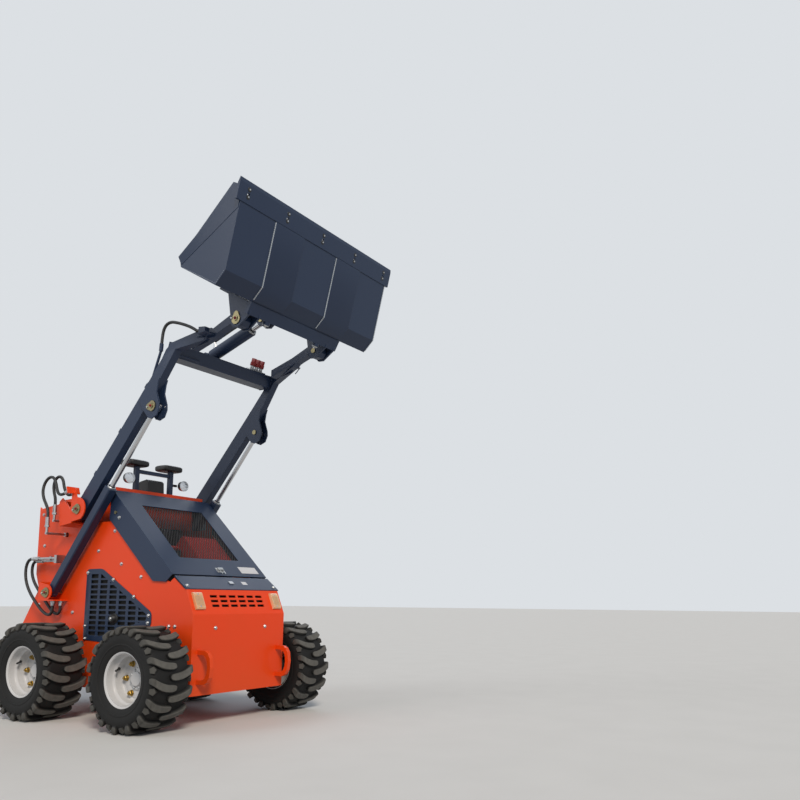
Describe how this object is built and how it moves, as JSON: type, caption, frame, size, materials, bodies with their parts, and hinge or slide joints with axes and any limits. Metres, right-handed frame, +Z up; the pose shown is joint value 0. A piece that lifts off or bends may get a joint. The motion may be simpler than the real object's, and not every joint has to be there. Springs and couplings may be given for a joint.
{
  "type": "skid steer loader",
  "caption": "Compact stand-on skid steer loader on lugged tyres, with a raised boom, a bucket on a quick hitch and an opening mesh hood.",
  "frame": {"origin": "on the ground under the middle of the machine's length, midway between the axles and between the sides", "axes": "+X forward towards the bucket, +Y to the machine's left, +Z up"},
  "size_m": [2.408, 1.404, 3.002],
  "materials": {
    "orange_paint": "gloss powder coat",
    "charcoal_paint": "satin powder coat",
    "red_paint": "satin paint",
    "rim_paint": "satin silver paint",
    "tyre_rubber": "matt",
    "axle_steel": "satin black paint",
    "engine_iron": "as cast",
    "amber_lens": "moulded lens",
    "black_plastic": "grained",
    "foam_rubber": "matt foam",
    "zinc_steel": "zinc plated",
    "chrome_rod": "ground and chromed",
    "mesh_steel": "satin black",
    "hose_rubber": "wrapped"
  },
  "bodies": {
    "wheel_front_right": {"rim_front_right": "rim_paint", "tyre_front_right": "tyre_rubber"},
    "wheel_front_left": {"rim_front_left": "rim_paint", "tyre_front_left": "tyre_rubber"},
    "wheel_rear_right": {"rim_rear_right": "rim_paint", "tyre_rear_right": "tyre_rubber"},
    "wheel_rear_left": {"rim_rear_left": "rim_paint", "tyre_rear_left": "tyre_rubber"},
    "chassis": {"axle_tubes": "axle_steel", "side_panels": "orange_paint", "belly_plate": "orange_paint", "front_panel": "orange_paint", "rear_wall": "orange_paint", "cowl": "orange_paint", "tow_rings": "orange_paint", "tower_lugs": "orange_paint", "side_grilles": "charcoal_paint", "front_strip": "charcoal_paint", "platform": "charcoal_paint", "engine_block": "engine_iron", "radiator": "red_paint", "front_lamps": "amber_lens", "console": "black_plastic", "work_lamps": "black_plastic", "control_posts": "charcoal_paint", "grip_pads": "foam_rubber", "tower_pins": "zinc_steel", "upper_hoses": "hose_rubber", "lower_hoses": "hose_rubber", "hose_fittings": "zinc_steel"},
    "boom": {"boom": "charcoal_paint", "boom_pins": "zinc_steel", "boom_hose": "hose_rubber"},
    "lift_barrel_right": {"lift_barrel_right": "charcoal_paint"},
    "lift_rod_right": {"lift_rod_right": "chrome_rod"},
    "lift_barrel_left": {"lift_barrel_left": "charcoal_paint"},
    "lift_rod_left": {"lift_rod_left": "chrome_rod"},
    "tilt_barrel": {"tilt_barrel": "charcoal_paint"},
    "tilt_rod": {"tilt_rod": "chrome_rod"},
    "bucket": {"bucket_shell": "charcoal_paint", "quick_hitch": "charcoal_paint", "cutting_edge": "charcoal_paint", "hitch_pins": "zinc_steel"},
    "hood": {"hood": "charcoal_paint", "hood_mesh": "mesh_steel"}
  },
  "joints": [
    {"name": "wheel_front_right_spin", "type": "hinge", "parent": "chassis", "child": "wheel_front_right", "pos_m": [0.464, -0.569, 0.292], "axis": [0, 1, 0], "continuous": true},
    {"name": "wheel_front_left_spin", "type": "hinge", "parent": "chassis", "child": "wheel_front_left", "pos_m": [0.464, 0.569, 0.292], "axis": [0, 1, 0], "continuous": true},
    {"name": "wheel_rear_right_spin", "type": "hinge", "parent": "chassis", "child": "wheel_rear_right", "pos_m": [-0.464, -0.569, 0.292], "axis": [0, 1, 0], "continuous": true},
    {"name": "wheel_rear_left_spin", "type": "hinge", "parent": "chassis", "child": "wheel_rear_left", "pos_m": [-0.464, 0.569, 0.292], "axis": [0, 1, 0], "continuous": true},
    {"name": "boom_lift", "type": "hinge", "parent": "chassis", "child": "boom", "pos_m": [-0.35, 0, 1.295], "axis": [0, -1, 0], "range_deg": [-81.5, 0]},
    {"name": "lift_barrel_right_swing", "type": "hinge", "parent": "chassis", "child": "lift_barrel_right", "pos_m": [-0.612, -0.42, 0.77], "axis": [0, -1, 0], "range_deg": [-53.3, 1]},
    {"name": "lift_rod_right_slide", "type": "slide", "parent": "lift_barrel_right", "child": "lift_rod_right", "axis": [0.6256, 0, 0.7801], "range_m": [-0.497, 0.005]},
    {"name": "lift_barrel_left_swing", "type": "hinge", "parent": "chassis", "child": "lift_barrel_left", "pos_m": [-0.612, 0.42, 0.77], "axis": [0, -1, 0], "range_deg": [-53.3, 1]},
    {"name": "lift_rod_left_slide", "type": "slide", "parent": "lift_barrel_left", "child": "lift_rod_left", "axis": [0.6256, 0, 0.7801], "range_m": [-0.497, 0.005]},
    {"name": "bucket_tilt", "type": "hinge", "parent": "boom", "child": "bucket", "pos_m": [0.885, 0, 2.36], "axis": [0, -1, 0], "range_deg": [-90, 15]},
    {"name": "tilt_barrel_swing", "type": "hinge", "parent": "boom", "child": "tilt_barrel", "pos_m": [0.24, 0, 2.318], "axis": [0, -1, 0], "range_deg": [-8, 3]},
    {"name": "tilt_rod_slide", "type": "slide", "parent": "tilt_barrel", "child": "tilt_rod", "axis": [0.9423, 0, 0.3346], "range_m": [-0.05, 0.29]},
    {"name": "hood_open", "type": "hinge", "parent": "chassis", "child": "hood", "pos_m": [-0.089, 0, 1.269], "axis": [0, -1, 0], "range_deg": [0, 50]}
  ],
  "couplings": [
    {"joint": "lift_barrel_right_swing", "follows": "boom_lift", "ratio": 0.64167},
    {"joint": "lift_rod_right_slide", "follows": "boom_lift", "m_per_rad": 0.34532},
    {"joint": "lift_barrel_left_swing", "follows": "boom_lift", "ratio": 0.64167},
    {"joint": "lift_rod_left_slide", "follows": "boom_lift", "m_per_rad": 0.34532},
    {"joint": "tilt_barrel_swing", "follows": "bucket_tilt", "ratio": 0.05915},
    {"joint": "tilt_rod_slide", "follows": "bucket_tilt", "m_per_rad": -0.17607}
  ]
}
